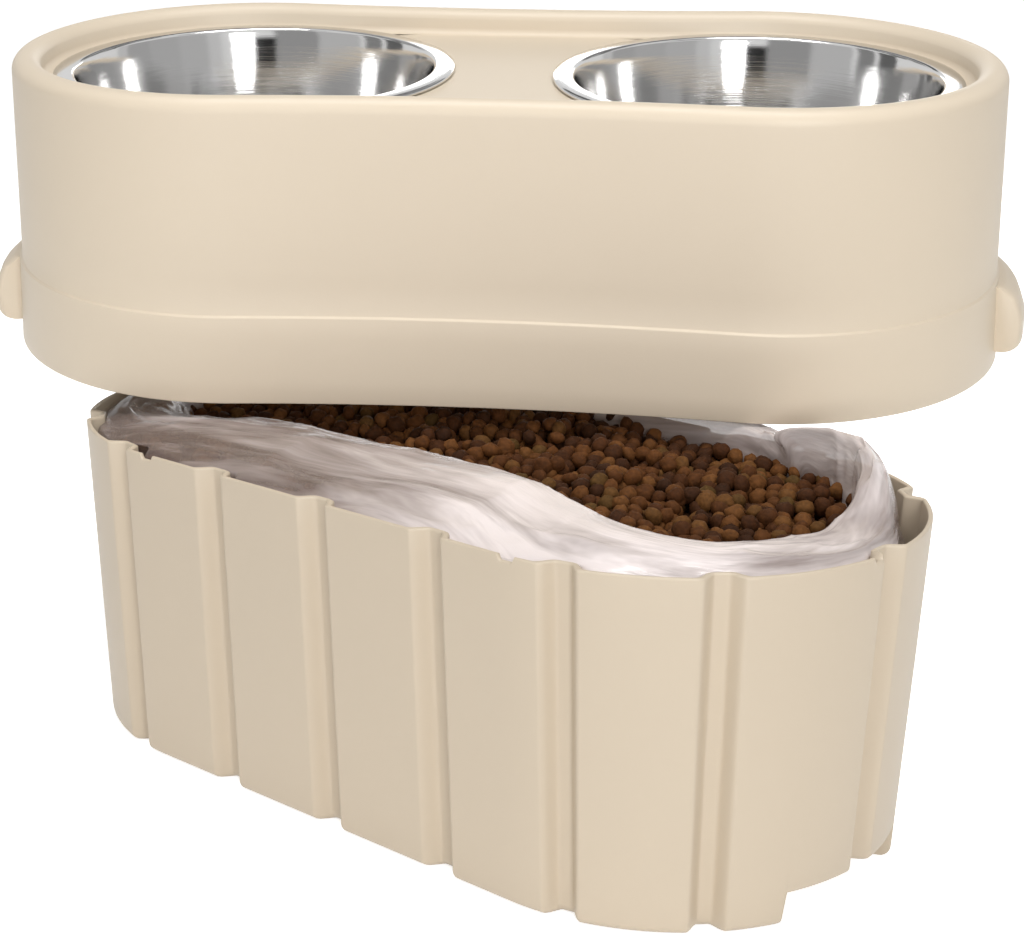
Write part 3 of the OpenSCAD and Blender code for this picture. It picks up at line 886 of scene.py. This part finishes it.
# each scoop: its bowl's place along the deck and its direction from there
scoop_places = [(side * bowl_c, math.pi * (side > 0) + turn * math.radians(57))
                for side in (-1, 1) for turn in (-1, 1)]


def scoop_dip(x, y):
    """How far the deck dips at (x, y) in the finger scoops beside the bowls."""
    dip = np.zeros_like(x)
    for centre, angle in scoop_places:
        dx, dy = x - centre, y
        r = np.hypot(dx, dy)
        turn = (np.arctan2(dy, dx) - angle + math.pi) % (2 * math.pi) - math.pi
        dip = np.maximum(dip, np.exp(-(turn * r / 17.0) ** 4) * np.exp(-(np.maximum(r - 115.0, 0) / 9.0) ** 2))
    return scoop_depth * dip


def from_spine(x, y):
    """Distance from the line between the two ends' centres, the waist added: the same all along the deck's edge."""
    return math.hypot(max(abs(x) - end_c, 0), y) + waist * max(0, 1 - (x / end_c) ** 2)


def from_bowl(x, y):
    """Distance from the nearer bowl's centre."""
    return min(math.hypot(x - side * bowl_c, y) for side in (-1, 1))


def weld(mesh, reach):
    """Join the points of a mesh that lie within reach of each other."""
    work = bmesh.new()
    work.from_mesh(mesh)
    bmesh.ops.remove_doubles(work, verts=work.verts, dist=reach)
    work.to_mesh(mesh)
    work.free()


def make_top_mesh():
    """The wall's section swept round the plan, the deck's two skins, and a collar at each hole."""
    base, way = top_plan(96, 150)
    count = len(base)
    edge_r = 0.9
    wall_foot, wall_head = skirt_h + 0.8, top_h - bead_r
    section = [(skirt_r - top_wall + 0.6, 0.0), (skirt_r - edge_r, 0.0)]
    section += arc_points(skirt_r - edge_r, edge_r, edge_r, -60, 0, 2)
    section += [(skirt_r + (skirt_top_r - skirt_r) * t, skirt_h * t) for t in (0.25, 0.5, 0.75)]
    section += arc_points(skirt_top_r - edge_r, skirt_h - step_w - 0.2, edge_r, 0, 75, 3)
    section += arc_points(wall_low_r + 0.5, skirt_h + 0.1, 0.5, 255, 180, 2)
    section += [(wall_low_r + (wall_top_r - wall_low_r) * t, wall_foot + (wall_head - wall_foot) * t)
                for t in (0.15, 0.35, 0.55, 0.75, 0.9)]
    section += arc_points(bead_c, wall_head, bead_r, 0, 162, 24)
    deck_foot = bead_in - deck_fillet + 0.4
    section += arc_points(deck_foot, deck_z + deck_fillet, deck_fillet, -12, -90, 8)
    top_edge = len(section) - 1
    under = [(deck_foot, deck_z - deck_t), (bead_in + top_wall, deck_z - deck_t)]
    under += arc_points(bead_c, wall_head, bead_r - top_wall, 180, 0, 12)
    inner_r = wall_low_r - top_wall
    under += [(inner_r, skirt_h + ledge_t), (inner_r - ledge_w, skirt_h + ledge_t), (inner_r - ledge_w, skirt_h),
              (skirt_top_r - top_wall, skirt_h), (skirt_r - top_wall, 0.6)]

    points = []
    for x, z in section + under:
        points.append(np.c_[base + way * x, np.full(count, z)])
    rows = len(section) + len(under)
    faces = []
    for j in range(rows):
        if j != top_edge:
            faces += ring_band(j * count, (j + 1) % rows * count, count)
    points = np.concatenate(points)

    # the deck's upper and lower skins run from the bead's foot to the collars
    circle = np.linspace(0, 2 * math.pi, 180, endpoint=False)
    loops = [points[top_edge * count:(top_edge + 1) * count, :2]]
    loops += [np.c_[side * bowl_c + collar_foot * np.cos(circle), collar_foot * np.sin(circle)] for side in (-1, 1)]
    flat = np.concatenate(loops)
    edges, start = [], 0
    for loop in loops:
        n = len(loop)
        edges += [(start + i, start + (i + 1) % n) for i in range(n)]
        start += n
    grid = [(x, y) for x in np.arange(-end_c - 110, end_c + 110, deck_grid) for y in np.arange(-112, 112, deck_grid)
            if from_spine(x, y) < bead_in - 9.0 and from_bowl(x, y) > collar_foot + 2.5]
    flat = np.concatenate([flat, np.array(grid)])
    made = delaunay_2d_cdt([tuple(p) for p in flat.tolist()], edges, [], 0, 1e-4)
    flat = np.array([tuple(p) for p in made[0]])
    tris = []
    for face in made[2]:
        middle = flat[list(face)].mean(0)
        if from_bowl(*middle) > collar_foot - 0.2 and from_spine(*middle) < deck_foot + 1.0:
            tris.append(tuple(face))
    first = len(points)
    upper = np.c_[flat, deck_z - scoop_dip(flat[:, 0], flat[:, 1])]
    lower = upper - np.array([0, 0, deck_t])
    points = np.concatenate([points, upper, lower])
    faces += [tuple(v + first for v in t) for t in tris]
    faces += [tuple(v + first + len(flat) for v in reversed(t)) for t in tris]

    # each collar: a low ring with soft edges, cut away in the scoops, and the hole's wall
    profile = [(collar_foot, 0.0), (collar_foot - 0.5, 0.2), (collar_foot - 1.0, 0.9),
               (collar_foot - 1.3, collar_h - 0.5), (collar_foot - 2.0, collar_h - 0.05),
               (hole_r + 0.9, collar_h - 0.05), (hole_r + 0.3, collar_h - 0.3), (hole_r, collar_h - 0.9),
               (hole_r, -deck_t)]
    n = len(circle)
    for side in (-1, 1):
        first = len(points)
        cuts = []
        for r, rise in profile:
            x, y = side * bowl_c + r * np.cos(circle), r * np.sin(circle)
            dip = scoop_dip(x, y)
            z = deck_z - dip + (rise * np.clip(1 - dip / 1.6, 0, 1) if rise > -deck_t else rise)
            cuts.append(np.c_[x, y, z])
        x, y = side * bowl_c + collar_foot * np.cos(circle), collar_foot * np.sin(circle)
        cuts.append(np.c_[x, y, deck_z - deck_t - scoop_dip(x, y)])
        points = np.concatenate([points] + cuts)
        for j in range(len(cuts) - 1):
            faces += ring_band(first + j * n, first + (j + 1) * n, n)

    mesh = bpy.data.meshes.new("feeder_top_shell")
    mesh.from_pydata((points * mm).tolist(), [], faces)
    weld(mesh, 0.02 * mm)
    return mesh


feeder_top = show("feeder_top_shell", make_top_mesh(), math.radians(40))
feeder_top.data.transform(held_over)

# Lift lugs: a lip round the middle of each end, with a soft lower edge, an upright face and a sloping top.
lug_z = 8.0
lug_h = 39.0
lug_half = math.radians(16)
lug_out = 14.0
lug_low_round = 8.0
lug_face_h = 17.0
lug_soft = 3.0
lug_square = 0.8
# the sloping top: how far in from the lip's face, and how far up from its lower edge
lug_slope = [
    (0.1, 19.8), (0.5, 21.8), (2.4, 27.3), (4.2, 31.6), (5.3, 33.2), (6.8, 34.6), (11.0, 37.8), (12.4, 38.8)]


def make_lug_mesh(name, side):
    """The lip's section turned round the end's centre, closed at its two ends."""
    foot, out = skirt_r - 1.5, skirt_r + lug_out
    section = [(foot, lug_z)]
    section += arc_points(out - lug_low_round, lug_z + lug_low_round, lug_low_round, -90, 0, 8)
    section += [(out, lug_z + lug_face_h)] + [(out - back, lug_z + rise) for back, rise in lug_slope]
    section += [(foot - 1.2, lug_z + lug_h)]
    # the lip's two ends are rounded off in plan
    turns = np.r_[np.linspace(-1, -lug_square, 7), np.linspace(-0.74, 0.74, 25), np.linspace(lug_square, 1, 7)]
    past = np.clip(np.abs(turns) - lug_square, 0, 0.2) / 0.2
    back = lug_soft * (1 - np.sqrt(1 - past ** 2))
    angle = turns * lug_half
    count = len(angle)
    rings = []
    for x, z in section:
        reach = np.where(x > foot, np.maximum(x - back, foot), x)
        rings.append(np.c_[end_c + reach * np.cos(angle), reach * np.sin(angle), np.full(count, z)])
    faces = []
    for j in range(len(rings) - 1):
        faces += ring_band(j * count, (j + 1) * count, count)[:-1]
    faces.append(tuple(j * count for j in range(len(rings))))
    faces.append(tuple(j * count + count - 1 for j in range(len(rings) - 1, -1, -1)))
    mesh = bpy.data.meshes.new(name)
    mesh.from_pydata((np.concatenate(rings) * mm * np.array([side, side, 1])).tolist(), [], faces)
    weld(mesh, 0.01 * mm)
    return mesh


top_skin = plastic("top_plastic", (0.70, 0.60, 0.468), 0.02, 0.40, 0.12)
lugs = []
for side, name in ((-1, "lift_lug_left"), (1, "lift_lug_right")):
    lug = show(name, make_lug_mesh(name, side), math.radians(50))
    lug.data.transform(held_over)
    lugs.append(lug)
for piece in [feeder_top] + lugs:
    piece.data.materials.append(top_skin)
    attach(piece, "top")
    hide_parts("feeder_top")

# ---------------------------------------------------------------------------
# Bowls: pressed stainless steel, with a wide flange that ends in a rolled
# edge and rests on the deck's collar. The inside is polished bright.
# ---------------------------------------------------------------------------
bowl_base_r = bowl_r - 12.5
bowl_depth = 62.0
bowl_corner = 18.0
bowl_t = 0.9
mouth_r = 2.6
neck_r = 2.4
curl_r = 1.2
dish_r = 40.0


def make_bowl_mesh(name, side):
    """The bowl's section turned once round: underside, rolled edge, flange, mouth and inside."""
    lean = math.atan((bowl_r - bowl_base_r) / bowl_depth)
    floor_z = bowl_t - bowl_depth

    def corner(r, base_r, z):
        x = base_r - r * (1 - math.sin(lean)) / math.cos(lean)
        return arc_points(x, z + r, r, -90, -math.degrees(lean), 12)

    def wall(foot_r, foot_z, shares):
        return [(foot_r + (bowl_r - bowl_base_r) * t, foot_z + bowl_depth * t) for t in shares]

    base_r = bowl_base_r + bowl_t
    outside = [(0.0, -bowl_depth), (dish_r, -bowl_depth)] + corner(bowl_corner + bowl_t, base_r, -bowl_depth)
    outside += wall(base_r, -bowl_depth, (0.45, 0.7, 0.9))
    outside += arc_points(bowl_r + bowl_t + 2.2, -neck_r, neck_r, 160, 90, 4)
    lip = arc_points(flange_r - curl_r, bowl_t - curl_r - 0.3, curl_r, -170, 60, 9)
    mouth = [(flange_r - 3.0, bowl_t - 0.12), (flange_r - 6.0, bowl_t)]
    mouth += arc_points(bowl_r + mouth_r, bowl_t - mouth_r, mouth_r, 90, 155, 7)
    inside = wall(bowl_base_r, floor_z, (0.93, 0.85, 0.7, 0.55, 0.4))
    inside += corner(bowl_corner, bowl_base_r, floor_z)[::-1] + [(dish_r, floor_z + 0.2), (0.0, floor_z + 0.35)]
    profile = outside + lip + mouth + inside
    turns = np.linspace(0, 2 * math.pi, 192, endpoint=False)
    count = len(turns)
    points, faces, lengths = [], [], [0.0]
    for j, (r, z) in enumerate(profile):
        points.append(np.c_[side * bowl_c + r * np.cos(turns), r * np.sin(turns), np.full(count, z + seat_z)])
        if j:
            lengths.append(lengths[-1] + math.dist(profile[j - 1], (r, z)))
    for j in range(len(profile) - 1):
        faces += ring_band(j * count, (j + 1) * count, count)
    mesh = bpy.data.meshes.new(name)
    mesh.from_pydata((np.concatenate(points) * mm).tolist(), [], faces)
    # u runs round the bowl and v along its section, so that the turning marks follow the rings
    layer = mesh.uv_layers.new(name="turning")
    for face in mesh.polygons:
        columns = [mesh.loops[at].vertex_index % count for at in face.loop_indices]
        wraps = max(columns) - min(columns) > 1
        for at, column in zip(face.loop_indices, columns):
            row = mesh.loops[at].vertex_index // count
            u = (column + (count if wraps and column == 0 else 0)) / count
            layer.data[at].uv = (u, lengths[row] * mm)
    weld(mesh, 0.01 * mm)
    return mesh


def steel_material():
    """Polished stainless steel with faint turning marks that follow the bowl's rings."""
    material, tree, shader = new_finish("bowl_steel")
    shader.inputs["Metallic"].default_value = 1.0
    shader.inputs["Base Color"].default_value = (0.74, 0.735, 0.73, 1)
    marks = drawn_noise(tree, "turning", 3.0, 2600.0, 3.0)
    feed(tree, shader.inputs["Roughness"], mapped(tree, marks, 0.25, 0.75, 0.04, 0.12))
    feed(tree, shader.inputs["Normal"], relief(tree, marks, 0.08, 0.0003))
    return material


steel = steel_material()
for side, name in ((-1, "left"), (1, "right")):
    bowl = show("steel_bowl_" + name, make_bowl_mesh("steel_bowl_" + name, side), math.radians(60))
    bowl.data.transform(held_over)
    bowl.data.materials.append(steel)
    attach(bowl, name + "_bowl")
    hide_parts("bowl_" + name)
